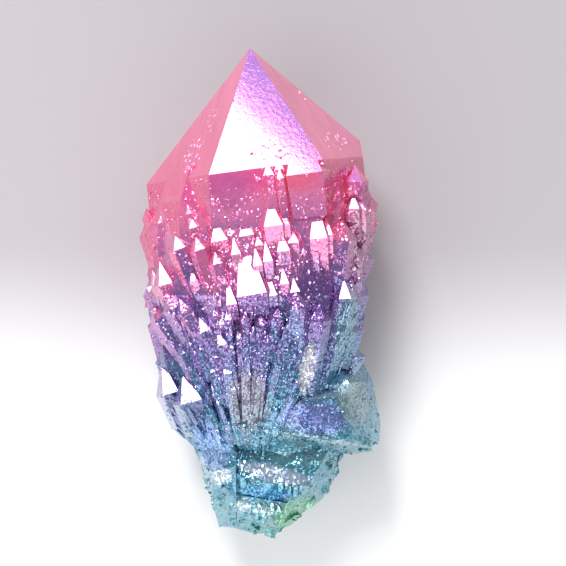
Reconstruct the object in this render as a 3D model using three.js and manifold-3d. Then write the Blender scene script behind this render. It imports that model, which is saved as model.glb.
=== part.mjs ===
// Aura quartz crystal: one natural quartz point whose flanks are covered with smaller points of
// parallel growth, broken off at the root. It lies on the flat prism face of its underside.
// Millimetres. +Y runs from the broken root to the tip, +X across, +Z up from the surface it lies on.
import * as THREE from 'three';
import { ConvexGeometry } from 'three/addons/geometries/ConvexGeometry.js';
import { mergeVertices } from 'three/addons/utils/BufferGeometryUtils.js';
import Module from 'manifold-3d';

const degrees = Math.PI / 180;

// ---- Driving dimensions -------------------------------------------------------------------------

const PYRAMID_FACE_ANGLE = 38.2 * degrees;   // quartz: pyramid face against the growth axis
const GROWTH_LEAN = 7.6 * degrees;           // growth axis against +Y, towards -X
const FAN_DISTANCE = 110;                    // the small points radiate from this far below their tips

const TIP_X = -1.5;
const TIP_Y = 35;
const AXIS_HEIGHT = 13.2;                    // growth axis above the resting surface
const MAIN_RADIUS = 15.9;                    // main point, across its prism corners
const MAIN_LENGTH = 42;                      // from its tip to its foot inside the body
const MAIN_DRIFT = -3.3;                     // the main point's foot lies this far to the side of its axis
const MAIN_TAPER = 0.84;                     // width of its foot, as a share of the width under the pyramid
const LEFT_CORNER = [17.1, 17.2];            // its left corner has grown on: across the axis, below the tip
const RIGHT_LOSS = 2.2;                      // and this much of its right corner is missing

// The body below the main point: [y, half width, half thickness, centre x, centre z]
const GIRTH = [
  [18, 14.6, 12.8, 0.4, 13.2],
  [13, 16.0, 13.5, 0.1, 13.6],
  [6, 15.5, 14.3, -0.4, 14.1],
  [0, 15.5, 14.9, -1.2, 14.3],
  [-6, 14.5, 14.1, -0.6, 13.7],
  [-12, 13.4, 13.2, -0.4, 13.1],
  [-17, 11.9, 12.2, -0.1, 12.7],
  [-20, 10.6, 11.0, 0.4, 12.3],
  [-22, 9.4, 8.6, 0.9, 11.8],
  [-26, 8.0, 7.6, 1.2, 11.3],
  [-29, 6.8, 6.2, 0.9, 10.9],
  [-32.5, 4.6, 4.2, -0.2, 10.2],
];
const FULLNESS = 0.8;                        // below 1 the body's section is fuller than an ellipse
const CORE_INSET = 1.2;                      // the core lies this far under the body's outside
const FOOT_DEPTH = 1.7;                      // and the feet of the small points this far
const FOOT_TAPER = 0.85;                     // a small point's foot, as a share of its width
const FLANK_FOOT_DEPTH = 1.0;                // the feet of the flank points lie nearer the outside

// Steps under the large upward face: [tip x, tip y, face height, face width, chisel edge]
const STEP_RISE = 0.06;                      // of these faces above the large one's plane
const STEP_FOOT = 6;                         // the steps reach this far below their faces
const STEP_SINK = 1.2;                       // and their feet lie this much deeper
const FRONT_STEPS = [
  [5.6, 20.6, 3.9, 5.0, 2.6],
  [2.4, 19.2, 1.9, 1.3, 0],
  [1.0, 18.0, 1.5, 1.5, 0.3],
  [2.6, 17.6, 1.5, 1.0, 0],
];

// Points that stand out on the upper side: [tip x, tip y, face height, face width, chisel edge, free].
// Free is the share of the pyramid face's height that stands above the ground at its tip.
const SHOWN_POINTS = [
  [-16.2, 12.3, 1.3, 1.0, 0, 1.0],
  [-16.0, 11.1, 2.5, 2.0, 0, 1.0],
  [-14.0, 4.7, 3.1, 1.9, 0, 0.95],
  [-15.1, 3.7, 2.1, 0.9, 0, 0.9],
  [-10.1, 12.6, 1.3, 0.8, 0, 0.8],
  [-9.5, 10.5, 1.1, 1.1, 0.4, 0.9],
  [-9.5, 3.4, 1.4, 1.1, 0, 0.8],
  [-6.0, 9.4, 1.8, 2.3, 0.8, 0.9],
  [-3.7, 7.9, 2.1, 1.3, 0, 0.9],
  [-2.0, 9.1, 0.8, 2.1, 1.4, 0.9],
  [-0.3, 8.1, 1.1, 1.2, 0, 0.9],
  [-0.7, 6.7, 2.4, 1.3, 0, 1.0],
  [-2.1, 5.9, 5.4, 4.1, 1.7, 0.85],
  [0.7, 7.5, 2.6, 1.3, 0, 1.0],
  [1.3, 1.8, 1.7, 1.5, 0.7, 0.9],
  [-4.6, 2.4, 3.4, 1.4, 0, 0.85],
  [1.4, 12.8, 3.0, 2.6, 0.4, 0.9],
  [3.0, 12.0, 2.1, 1.7, 0.3, 0.9],
  [2.9, 8.7, 2.4, 1.8, 0, 0.9],
  [4.4, 9.1, 1.7, 1.5, 0, 0.7],
  [7.8, 11.4, 3.3, 2.4, 0.9, 0.95],
  [9.1, 10.9, 2.4, 1.5, 0, 1.0],
  [8.9, 8.1, 1.1, 0.9, 0, 1.0],
  [7.5, 7.1, 1.1, 0.9, 0, 0.9],
  [13.2, 18.2, 2.3, 1.9, 0, 1.0],
  [13.0, 13.5, 1.4, 1.4, 0.5, 0.9],
  [14.1, 13.3, 1.4, 1.3, 0.4, 0.9],
  [15.1, 12.9, 1.2, 0.9, 0, 0.9],
  [13.3, 6.3, 1.4, 0.9, 0, 0.9],
  [13.0, 4.5, 1.0, 0.9, 0, 0.9],
  [3.1, 3.9, 2.1, 1.2, 0, 0.8],
  [4.6, 2.4, 1.8, 1.3, 0, 0.8],
  [11.6, 2.3, 2.6, 1.7, 0, 0.95],
  [4.1, -3.4, 1.4, 1.0, 0, 0.9],
  [-5.2, -2.2, 1.6, 1.7, 0, 0.8],
  [-13.9, -8.9, 4.8, 2.2, 0, 1.0],
  [-10.5, -11.2, 3.5, 3.0, 0.7, 1.0],
];

const SHOWN_LENGTH = 4;                       // length of these points: this much,
const SHOWN_STRETCH = 1.3;                    // and this much more for each millimetre of face height

// Long ribs that run down the flanks to the root: [tip x, tip y, foot x, foot y, width, rise]
const RIBS = [
  [-16.9, 2.8, -11.5, -10.5, 2.4, 0.5],
  [-15.6, -1.5, -8.5, -13.0, 2.2, 0.5],
  [-13.2, 0.2, -6.5, -13.0, 2.0, 0.6],
  [-11.4, -0.4, -4.5, -14.0, 1.8, 0.5],
  [-8.6, -3.0, -3.0, -16.0, 1.8, 0.5],
  [-6.0, -5.0, -1.5, -17.5, 1.6, 0.4],
  [-14.4, -7.0, -8.0, -19.0, 2.4, 0.5],
  [-11.8, 8.2, -8.4, -4.0, 1.9, 0.9],
  [-8.8, 8.0, -5.4, -5.0, 1.7, 0.9],
  [-6.2, 6.0, -3.8, -5.0, 1.5, 0.8],
  [15.4, 16.4, 12.0, -5.0, 3.0, 0.9],
  [11.9, 10.5, 12.2, -7.5, 2.6, 0.7],
  [12.9, 2.4, 10.4, -12.0, 2.8, 1.2],
  [5.0, 0.5, 7.2, -15.0, 2.0, 0.9],
  [8.6, -1.0, 8.4, -14.0, 2.2, 0.5],
];

const RIB_SLIMNESS = 0.9;                     // a rib's width over the height of its pyramid face

// Small points of the sides and the back, in rows that shingle each other
const FLANK_TURNS = [66, 298];                // from and to, in degrees from straight up
const FLANK_ROWS = 8;
const FLANK_COLUMNS = 9;
const FLANK_TOP = 16.5;
const FLANK_SPACING = 4.5;
const FLANK_OVERLAP = 1.7;                    // a point's length over the spacing of the rows
const FLANK_HEIGHTS = [1.7, 2.9];             // of the pyramid faces
const FLANK_WIDTHS = [1.1, 1.6];              // over those heights
const FLANK_RISES = [0.28, 0.98];             // above the outside of the body
const FLANK_CHISEL = 0.25;                    // a chisel edge's length over the face height
const CHISEL_EDGED = 0.4;                     // the share of the points that end in one

// Small points that close in on the root, on the lower part of the upper side
const CLOSING_TOP = -1.2;                    // tips of the uppermost row
const CLOSING_SPACING = 2.3;                 // from row to row
const CLOSING_ROWS = [9, 9, 9, 8, 7, 6, 6];  // points in each row
const CLOSING_CENTRE = [-2.0, -21.5];        // where they would meet: x, y
const CLOSING_SPREAD = 0.8;                  // half width of a row, as a share of its distance from there
const CLOSING_SIZE = 1.05;
const CLOSING_LENGTH = 6.5;                  // length of these points over their size
const CLOSING_END = -20.5;                   // none reaches lower than this
const CLOSING_REACH = 12;                    // the rows get no wider from this far above the centre
const CLOSING_JITTER = [0.4, 0.9];           // scatter across a row and along it, over each spacing
const CLOSING_SIZES = [0.7, 1.4];            // smallest and largest, over the size
const CLOSING_WIDTHS = [0.7, 1.15];          // half width over the size
const CLOSING_SINK = [0.45, 0.95];           // how far the tip lies under the body's outside, over the size
const CHISEL_SHARE = 0.3;                    // share of the points with a chisel edge, and its length

// The broken root, as the corners of its two halves beside a ridge: [x, y, z]
const ROOT_LEFT = [
  [-9.9, -20.2, 12.5], [-3.4, -20.5, 20.0], [-3.4, -23.7, 20.4], [-3.4, -29.0, 18.2], [-3.5, -33.1, 12.8],
  [-6.0, -33.0, 9.5], [-6.8, -29.5, 12.4], [-6.8, -24.8, 17.6], [-8.1, -24.4, 13.6], [-4.4, -24.2, 19.9],
  [-8.2, -20.5, 5.0], [-5.2, -29.0, 5.4], [-3.0, -32.0, 6.0], [2.0, -20.5, 8.0], [2.0, -30.0, 8.0],
];
const ROOT_RIGHT = [
  [-2.6, -19.6, 19.4], [10.6, -20.2, 16.8], [-3.4, -23.7, 19.8], [2.8, -25.4, 19.6], [6.8, -26.6, 17.6],
  [11.2, -25.2, 12.0], [8.8, -29.0, 10.2], [4.5, -32.7, 9.8], [2.3, -34.1, 9.2], [-3.4, -33.4, 9.6],
  [-3.2, -28.8, 17.4], [-1.0, -30.0, 16.6], [3.7, -30.5, 14.6], [-1.0, -34.1, 9.2],
  [8.6, -21.2, 4.8], [5.2, -29.0, 5.4], [0.1, -33.2, 6.8], [-3.0, -22.0, 4.8],
];

// Steps broken across the root, one below the other, as corners: [x, y, z]
const ROOT_STEPS = [
  [
    [-2.7, -21.4, 19.6], [6.8, -22.4, 18.2], [-2.7, -25.4, 20.5], [2.8, -26.2, 20.0], [7.0, -26.9, 18.1],
    [-2.7, -27.0, 16.0], [6.4, -28.0, 15.0], [-2.7, -21.0, 15.0], [7.2, -22.4, 15.0],
  ],
  [
    [-3.3, -28.0, 18.2], [0.0, -28.6, 17.8], [3.8, -29.3, 16.2], [-3.3, -30.6, 17.4], [0.2, -31.2, 16.6],
    [3.6, -31.3, 15.0], [-3.4, -32.6, 12.4], [2.8, -33.3, 11.2], [-3.2, -27.0, 12.0], [4.6, -28.0, 12.0],
  ],
];

// Points on the root: [tip x, tip y, height of the prism face, face height, face width, chisel edge]
const ROOT_POINTS = [
  [-5.9, -23.7, 18.0, 2.0, 1.6, 0.8],
  [-5.0, -25.6, 18.0, 1.3, 1.2, 0.5],
  [-2.4, -28.0, 18.6, 1.5, 1.4, 1.1],
  [0.5, -28.9, 18.0, 1.2, 1.1, 0.7],
  [2.4, -29.2, 17.2, 1.1, 0.9, 0.4],
];
const ROOT_POINT_DEPTH = 2.5;                // their feet lie this far under the prism face
const ROOT_POINT_LENGTH = 1.3;               // their length over the face height

// Lumps broken around the root: [x, y, z, size]
const LUMP_CORNERS = 8;
const ROOT_LUMPS = [
  [-7.0, -27.6, 11.5, 1.3], [-6.3, -28.6, 10.0, 1.2], [-7.6, -22.6, 14.5, 1.6], [-5.6, -25.6, 17.6, 1.5],
  [-2.0, -29.4, 16.4, 1.5], [0.6, -30.0, 16.0, 1.4], [2.6, -30.2, 15.0, 1.3], [5.0, -26.0, 17.6, 1.5],
  [1.3, -34.0, 9.0, 1.0], [-0.6, -33.2, 10.6, 1.1], [-4.8, -31.6, 11.4, 1.2], [4.4, -31.6, 11.2, 1.4],
  [10.2, -24.0, 13.4, 1.6], [10.5, -22.8, 10.0, 1.5], [8.6, -27.6, 11.6, 1.5], [6.6, -29.4, 11.6, 1.3],
  [-1.0, -25.6, 18.6, 1.3], [-8.4, -21.6, 9.0, 1.8],
  [7.6, -25.4, 7.6, 1.9], [-5.8, -26.0, 7.4, 1.8], [0.6, -27.6, 6.0, 2.2],
];

// The ledge that flares out beside the root, on the right
const LEDGE_BLOCK = [
  [1.3, -19.0, 22.5], [6.5, -19.7, 22.5], [11.1, -20.3, 21.0], [15.7, -21.4, 16.0],
  [15.9, -22.2, 12.5], [10.9, -22.7, 15.0], [17.0, -18.1, 12.0], [16.9, -20.7, 13.0],
  [16.3, -14.9, 12.0], [15.9, -12.2, 12.5], [14.2, -9.0, 13.5],
  [11.9, -12.9, 20.0], [12.9, -19.4, 19.5], [5.5, -14.6, 24.0], [11.2, -14.2, 21.0],
  [14.7, -12.8, 7.0], [15.7, -19.8, 8.0], [10.5, -22.0, 8.0], [6.9, -15.0, 6.0],
];

// ---- Shapes -------------------------------------------------------------------------------------

const growthAxis = new THREE.Vector3(-Math.sin(GROWTH_LEAN), Math.cos(GROWTH_LEAN), 0);
const mainTip = new THREE.Vector3(TIP_X, TIP_Y, AXIS_HEIGHT);
const MAIN_HEIGHT = (MAIN_RADIUS * Math.cos(30 * degrees)) / Math.tan(PYRAMID_FACE_ANGLE);
const up = new THREE.Vector3(0, 0, 1);

/** The body's cross-section at a height y along it, between the stations of GIRTH. */
function girthAt(y) {
  const last = GIRTH.length - 1;
  if (y >= GIRTH[0][0]) return GIRTH[0].slice(1);
  if (y <= GIRTH[last][0]) return GIRTH[last].slice(1);
  const lower = GIRTH.findIndex((station) => station[0] <= y);
  const above = GIRTH[lower - 1];
  const below = GIRTH[lower];
  const share = (above[0] - y) / (above[0] - below[0]);
  return above.slice(1).map((value, k) => value + share * (below[k + 1] - value));
}

/** A point of the body's outside, at height y and turned by an angle from straight up (+Z) towards +X. */
function skinPoint(y, turn, inset = 0) {
  const [halfWidth, halfThickness, centreX, centreZ] = girthAt(y);
  const side = Math.sign(Math.sin(turn)) * Math.abs(Math.sin(turn)) ** FULLNESS;
  const rise = Math.sign(Math.cos(turn)) * Math.abs(Math.cos(turn)) ** FULLNESS;
  return new THREE.Vector3(
    centreX + side * (halfWidth - inset),
    y,
    centreZ + rise * (halfThickness - inset),
  );
}

/** The turn at which the outside of the body lies over a place across it. */
function turnOver(x, y) {
  const [halfWidth, , centreX] = girthAt(y);
  const share = THREE.MathUtils.clamp((x - centreX) / halfWidth, -1, 1);
  return Math.asin(Math.sign(share) * Math.abs(share) ** (1 / FULLNESS));
}

/** The direction in which a small point grows at a place: the growth axis, fanned out from it. */
function growthAt(place) {
  const along = place.clone().sub(mainTip).dot(growthAxis);
  const onAxis = mainTip.clone().addScaledVector(growthAxis, along);
  const offset = place.clone().sub(onAxis);
  return growthAxis.clone().addScaledVector(offset, 1 / FAN_DISTANCE).normalize();
}

/**
 * The corners of a six-sided quartz point, as an array of Vector3.
 * tip: the apex. direction: its growth. face: height and width of the upward pyramid face.
 * ridge: width of a chisel edge at the apex. foot: the middle of the lower end.
 * taper: width of the lower end, as a share of the width under the pyramid.
 */
function pointCorners({ tip, direction, face, ridge = 0, foot, taper = FOOT_TAPER }) {
  const [height, width] = face;
  const radius = apothemOf(height) / Math.cos(30 * degrees);
  const squeeze = (width - ridge) / radius;
  const side = new THREE.Vector3().crossVectors(direction, up).normalize();
  const front = new THREE.Vector3().crossVectors(side, direction).normalize();
  const corner = (middle, x, z) => middle.clone().addScaledVector(side, x).addScaledVector(front, z);
  const shoulder = tip.clone().addScaledVector(direction, -height);
  const found = [];
  for (const shift of ridge > 0 ? [-ridge / 2, ridge / 2] : [0]) {
    found.push(corner(tip, shift, 0));
    for (let k = 0; k < 6; k += 1) {
      const angle = (k * 60 + 30) * degrees;
      const x = Math.sin(angle) * radius * squeeze;
      const z = Math.cos(angle) * radius;
      found.push(corner(shoulder, shift + x, z));
      found.push(corner(foot, shift + x * taper, z * taper));
    }
  }
  return found;
}

/** From a point's axis to the flat prism face under a pyramid face of a given height. */
function apothemOf(height) {
  return height * Math.tan(PYRAMID_FACE_ANGLE);
}

/** Turns rows of x, y, z into corners. */
function corners(rows) {
  return rows.map((row) => new THREE.Vector3(...row));
}

// ---- Solids -------------------------------------------------------------------------------------

const wasm = await Module();
wasm.setup();
const { Manifold, Mesh } = wasm;

/** Turns a closed three.js geometry into a solid for joining and cutting. */
function solidOf(geometry) {
  const plain = geometry.clone();
  plain.deleteAttribute('normal');
  plain.deleteAttribute('uv');
  const merged = mergeVertices(plain, 1e-5);
  const vertProperties = new Float32Array(merged.attributes.position.array);
  const triVerts = new Uint32Array(merged.index.array);
  return new Manifold(new Mesh({ numProp: 3, vertProperties, triVerts }));
}

/** The convex solid around a list of corners. */
function convexSolid(corners) {
  return solidOf(new ConvexGeometry(corners));
}

/** Turns a joined solid back into a three.js geometry with flat faces. */
function geometryOf(solid) {
  const mesh = solid.getMesh();
  const indexed = new THREE.BufferGeometry();
  indexed.setAttribute('position', new THREE.BufferAttribute(new Float32Array(mesh.vertProperties), 3));
  indexed.setIndex(new THREE.BufferAttribute(new Uint32Array(mesh.triVerts), 1));
  const flat = indexed.toNonIndexed();
  flat.computeVertexNormals();
  return flat;
}

/**
 * A small quartz point that follows the outside of the body. Its prism face stands a rise above the
 * outside under the tip and sinks into it at the foot.
 */
function quartzPoint({ y, turn, rise, length, face, ridge = 0 }) {
  const apothem = apothemOf(face[0]);
  const corner = (face[1] - ridge / 2) * Math.abs(Math.sin(turn));
  const reach = Math.max(corner, corner / 2 + apothem * Math.abs(Math.cos(turn)));
  const tip = skinPoint(y, turn, reach - rise);
  const foot = skinPoint(y - length, turn, apothem * FOOT_TAPER + FLANK_FOOT_DEPTH);
  return convexSolid(pointCorners({ tip, direction: growthAt(tip), face, ridge, foot }));
}

// ---- The crystal --------------------------------------------------------------------------------

/** The large point that carries all the others, with its left corner grown on and its right one lost. */
function mainPoint() {
  const face = [MAIN_HEIGHT, MAIN_RADIUS];
  const foot = mainTip.clone().addScaledVector(growthAxis, -MAIN_LENGTH);
  foot.x += MAIN_DRIFT;
  const [across, below] = LEFT_CORNER;
  const left = new THREE.Vector3().crossVectors(up, growthAxis).multiplyScalar(across);
  const found = [
    ...pointCorners({ tip: mainTip, direction: growthAxis, face, taper: MAIN_TAPER, foot }),
    mainTip.clone().addScaledVector(growthAxis, -below).add(left),
    foot.clone().addScaledVector(left, MAIN_TAPER),
  ];
  const cutSize = 4 * MAIN_RADIUS;
  const cut = new THREE.BoxGeometry(cutSize, 2 * cutSize, cutSize);
  cut.translate(MAIN_RADIUS - RIGHT_LOSS + cutSize / 2, 0, 0);
  cut.rotateZ(GROWTH_LEAN).translate(TIP_X, TIP_Y, AXIS_HEIGHT);
  return convexSolid(found).subtract(solidOf(cut));
}

/** Blocks that carry the large upward face on, lower down: their faces lie in its plane. */
function frontSteps() {
  return FRONT_STEPS.map(([x, y, height, width, ridge]) => {
    const below = new THREE.Vector3(x, y, AXIS_HEIGHT).sub(mainTip).dot(growthAxis);
    const tip = new THREE.Vector3(x, y, AXIS_HEIGHT + apothemOf(-below) + STEP_RISE);
    const foot = tip.clone().addScaledVector(growthAxis, -height - STEP_FOOT);
    foot.z -= STEP_SINK;
    return convexSolid(pointCorners({ tip, direction: growthAxis, face: [height, width], ridge, foot }));
  });
}

/** The core of the body, one convex slice between each two stations of its girth. */
function core() {
  const sides = 12;
  const ring = (y) => Array.from({ length: sides }, (_, k) => (
    skinPoint(y, ((k + 0.5) * 360 / sides) * degrees, CORE_INSET)));
  const slices = [];
  for (let k = 1; k < GIRTH.length; k += 1) {
    slices.push(convexSolid([...ring(GIRTH[k - 1][0]), ...ring(GIRTH[k][0])]));
  }
  return slices;
}

/** A number from 0 to 1 that always comes out the same for the same two whole numbers. */
function scatter(first, second) {
  const value = Math.sin(first * 127.1 + second * 311.7 + 4.7) * 43758.5453;
  return value - Math.floor(value);
}

/** The number that lies a share of the way from the first to the second of two. */
function between([low, high], share) {
  return low + (high - low) * share;
}

/** The height of the upper side, as the large point and the core make it, at a place across them. */
function groundAt(x, y) {
  const depth = mainTip.clone().sub(new THREE.Vector3(x, y, AXIS_HEIGHT)).dot(growthAxis);
  const axisX = TIP_X - growthAxis.x * depth + (MAIN_DRIFT * depth) / MAIN_LENGTH;
  const share = THREE.MathUtils.clamp((depth - MAIN_HEIGHT) / (MAIN_LENGTH - MAIN_HEIGHT), 0, 1);
  const radius = MAIN_RADIUS * THREE.MathUtils.lerp(1, MAIN_TAPER, share);
  const front = radius * Math.cos(30 * degrees);
  const side = (front * (radius - Math.abs(x - axisX))) / (radius / 2);
  const large = depth > MAIN_LENGTH ? 0 : AXIS_HEIGHT + Math.min(front, side, apothemOf(depth));
  return Math.max(large, skinPoint(y, turnOver(x, y), CORE_INSET).z);
}

/** The points that stand out on the upper side, each with its prism face turned up. */
function shownPoints() {
  return SHOWN_POINTS.map(([x, y, height, width, ridge, free]) => {
    const apothem = apothemOf(height);
    const tip = new THREE.Vector3(x, y, groundAt(x, y) - (1 - free) * apothem);
    const direction = growthAt(tip);
    const length = SHOWN_LENGTH + SHOWN_STRETCH * height;
    const foot = tip.clone().addScaledVector(direction, -length);
    foot.z = groundAt(foot.x, foot.y) - FOOT_DEPTH - apothem * FOOT_TAPER;
    return convexSolid(pointCorners({ tip, direction, face: [height, width], ridge, foot }));
  });
}

/** The short points on the root. */
function rootPoints() {
  return ROOT_POINTS.map(([x, y, z, height, width, ridge]) => {
    const tip = new THREE.Vector3(x, y, z - apothemOf(height));
    const foot = tip.clone().addScaledVector(growthAxis, -ROOT_POINT_LENGTH * height);
    foot.z -= ROOT_POINT_DEPTH;
    return convexSolid(pointCorners({ tip, direction: growthAxis, face: [height, width], ridge, foot }));
  });
}

/** The long ribs of the flanks. */
function ribs() {
  return RIBS.map(([x, y, footX, footY, width, rise]) => {
    const turn = turnOver(x, y);
    const tip = skinPoint(y, turn, width / 2 - rise);
    const foot = skinPoint(footY, turnOver(footX, footY), width / 2 + FOOT_DEPTH);
    const direction = tip.clone().sub(foot).normalize();
    return convexSolid(pointCorners({ tip, direction, face: [width, width * RIB_SLIMNESS], foot }));
  });
}

/** The points of the sides and the back, in rows that shingle each other down the body. */
function flankPoints() {
  const [from, to] = FLANK_TURNS;
  const points = [];
  for (let row = 0; row < FLANK_ROWS; row += 1) {
    for (let k = 0; k < FLANK_COLUMNS; k += 1) {
      const height = between(FLANK_HEIGHTS, scatter(row + 20, k));
      points.push(quartzPoint({
        y: FLANK_TOP - FLANK_SPACING * (row + (scatter(row, k) - 0.5) / 2),
        turn: between([from, to], (k + (row % 2) / 2) / FLANK_COLUMNS) * degrees,
        rise: between(FLANK_RISES, scatter(k, row)),
        length: FLANK_SPACING * FLANK_OVERLAP,
        face: [height, height * between(FLANK_WIDTHS, scatter(k + 40, row))],
        ridge: scatter(row, k + 60) > 1 - CHISEL_EDGED ? height * FLANK_CHISEL : 0,
      }));
    }
  }
  return points;
}

/** The small points that close in on the root, row by row. */
function closingPoints() {
  const [centreX, centreY] = CLOSING_CENTRE;
  const [jitterAcross, jitterAlong] = CLOSING_JITTER;
  return CLOSING_ROWS.flatMap((count, row) => Array.from({ length: count }, (_, k) => {
    const place = k + 0.5 * (row % 2) + jitterAcross * scatter(row, k + 7);
    const share = place / (count - 0.5) - 0.5;
    const y = CLOSING_TOP - (row + jitterAlong * scatter(k, row + 7)) * CLOSING_SPACING;
    const x = centreX + 2 * share * CLOSING_SPREAD * Math.min(y - centreY, CLOSING_REACH);
    const size = CLOSING_SIZE * between(CLOSING_SIZES, scatter(row + 9, k + 3));
    const length = Math.min(size * CLOSING_LENGTH, y - CLOSING_END);
    const footX = x + ((centreX - x) * length) / (y - centreY + length);
    const sink = size * between(CLOSING_SINK, 1 - scatter(row + 5, k + 11));
    const tip = skinPoint(y, turnOver(x, y), sink);
    const foot = skinPoint(y - length, turnOver(footX, y - length), size * FOOT_TAPER);
    const direction = tip.clone().sub(foot).normalize();
    const width = size * between(CLOSING_WIDTHS, scatter(row + 2, k + 17));
    const ridge = scatter(k + 1, row + 19) > 1 - CHISEL_SHARE ? size * CHISEL_SHARE : 0;
    return convexSolid(pointCorners({ tip, direction, face: [size, width], ridge, foot }));
  }));
}

/** The lumps of the broken root, each the solid around a few scattered corners. */
function rootLumps() {
  return ROOT_LUMPS.map(([x, y, z, size], k) => {
    const found = Array.from({ length: LUMP_CORNERS }, (_, n) => new THREE.Vector3(
      scatter(k, n + 30) - 0.5,
      scatter(k, n + 50) - 0.5,
      scatter(k, n + 70) - 0.5,
    ).setLength(size).add(new THREE.Vector3(x, y, z)));
    return convexSolid(found);
  });
}

/** Everything above the resting surface. */
function aboveGround() {
  const size = 100;
  return solidOf(new THREE.BoxGeometry(size, size, size).translate(0, 0, size / 2));
}

/** Keeps the outer body alone, without the small voids enclosed between the points. */
function withoutVoids(solid) {
  const bodies = solid.decompose();
  return bodies.reduce((largest, body) => (body.volume() > largest.volume() ? body : largest));
}

const grown = Manifold.union([
  mainPoint(),
  ...frontSteps(),
  ...core(),
  convexSolid(corners(ROOT_LEFT)),
  convexSolid(corners(ROOT_RIGHT)),
  ...ROOT_STEPS.map((step) => convexSolid(corners(step))),
  convexSolid(corners(LEDGE_BLOCK)),
  ...shownPoints(),
  ...rootPoints(),
  ...ribs(),
  ...flankPoints(),
  ...closingPoints(),
  ...rootLumps(),
]);
const joined = withoutVoids(grown.intersect(aboveGround()));

/** Moves the crystal so that the middle of its box is over the origin. */
function centred(geometry) {
  geometry.computeBoundingBox();
  const middle = geometry.boundingBox.getCenter(new THREE.Vector3());
  return geometry.translate(-middle.x, -middle.y, 0);
}

const quartz = new THREE.MeshStandardMaterial({ color: 0xc05fb4, roughness: 0.12, metalness: 0.1 });
const crystal = new THREE.Mesh(centred(geometryOf(joined)), quartz);
crystal.name = 'crystal';

const group = new THREE.Group();
group.add(crystal);
export default group;
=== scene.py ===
"""Dresses the aura quartz crystal: fine growth, a broken root and the pearly film over clear quartz.

Everything is in metres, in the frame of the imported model: +Y from the root to the tip, +Z up.
"""

import logging
import math
from contextlib import contextmanager
from dataclasses import dataclass
from enum import Enum
from typing import Any, Iterator, Mapping, Sequence, Union

import bmesh
import bpy
import numpy as np
from mathutils import Matrix, Vector, noise


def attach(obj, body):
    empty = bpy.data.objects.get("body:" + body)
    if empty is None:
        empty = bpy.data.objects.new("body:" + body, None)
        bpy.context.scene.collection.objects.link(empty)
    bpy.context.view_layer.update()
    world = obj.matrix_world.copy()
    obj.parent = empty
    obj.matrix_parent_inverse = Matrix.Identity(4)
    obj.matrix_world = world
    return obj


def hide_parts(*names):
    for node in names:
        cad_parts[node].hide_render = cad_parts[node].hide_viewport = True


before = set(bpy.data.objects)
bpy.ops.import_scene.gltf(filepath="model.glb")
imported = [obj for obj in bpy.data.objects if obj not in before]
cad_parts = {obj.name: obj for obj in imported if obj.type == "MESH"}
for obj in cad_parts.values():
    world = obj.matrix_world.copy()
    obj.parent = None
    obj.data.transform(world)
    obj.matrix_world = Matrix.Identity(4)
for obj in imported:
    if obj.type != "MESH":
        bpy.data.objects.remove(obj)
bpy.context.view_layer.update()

MM = 0.001
NODE = "crystal"
PIXELS = 566  # the picture is square
PIXEL = 0.1417 * MM  # size of one of its pixels on the crystal
TIP_PIXEL = (250.0, 48.0)
UP = (0.0, 0.0, 1.0)

Array = np.ndarray
Random = np.random.Generator
Span = tuple[float, float]  # from, to
Triple = tuple[float, float, float]
Floats = Sequence[float]
Patch = tuple[float, float, float, float]  # ellipse seen from above: middle x, y, half width, half height
Shape = tuple[Array, list[tuple[int, ...]]]  # vertices, and faces that point out

log = logging.getLogger("aura_quartz")


def linear(code: str) -> tuple[float, ...]:
    """Turns a colour written as #rrggbb into linear red, green, blue and alpha."""
    parts = (int(code[k:k + 2], 16) / 255 for k in (1, 3, 5))
    return (*(p / 12.92 if p <= 0.04045 else ((p + 0.055) / 1.055) ** 2.4 for p in parts), 1.0)


def unit(vectors: Floats | Array) -> Array:
    """A vector, or each row of several, made one unit long."""
    return vectors / np.linalg.norm(vectors, axis=-1, keepdims=True)


# Shader graphs

Value = Union["Sock", float, Floats]
Outputs = dict[Union[int, str], "Sock"]


class Sock:
    """An output socket that can be used in arithmetic; each operation adds a Math node."""

    def __init__(self, graph: "Graph", socket: bpy.types.NodeSocket) -> None:
        """Wraps a socket of a graph."""
        self.graph = graph
        self.socket = socket

    def _math(self, operation: str, *values: Value) -> "Sock":
        """Adds one Math node."""
        return self.graph.node("ShaderNodeMath", {"operation": operation}, dict(enumerate(values)))[0]

    def __add__(self, other: Value) -> "Sock":
        """Sum."""
        return self._math("ADD", self, other)

    def __sub__(self, other: Value) -> "Sock":
        """Difference."""
        return self._math("SUBTRACT", self, other)

    def __rsub__(self, other: Value) -> "Sock":
        """Difference, the other way round."""
        return self._math("SUBTRACT", other, self)

    def __mul__(self, other: Value) -> "Sock":
        """Product."""
        return self._math("MULTIPLY", self, other)

    def __truediv__(self, other: Value) -> "Sock":
        """Quotient."""
        return self._math("DIVIDE", self, other)

    def __rtruediv__(self, other: Value) -> "Sock":
        """Quotient, the other way round."""
        return self._math("DIVIDE", other, self)

    __radd__, __rmul__ = __add__, __mul__

    def higher_of(self, other: Value) -> "Sock":
        """The higher of two values."""
        return self._math("MAXIMUM", self, other)

    def step(self, low: float, high: float) -> "Sock":
        """A smooth step.

        Args:
            low: Where the step starts, at 0.
            high: Where it ends, at 1. It may lie below low.

        Returns:
            A value from 0 to 1.
        """
        if low > high:
            return 1 - self.step(high, low)
        links = {"Value": self, "From Min": low, "From Max": high}
        return self.graph.node("ShaderNodeMapRange", {"interpolation_type": "SMOOTHSTEP"}, links)["Result"]


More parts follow.
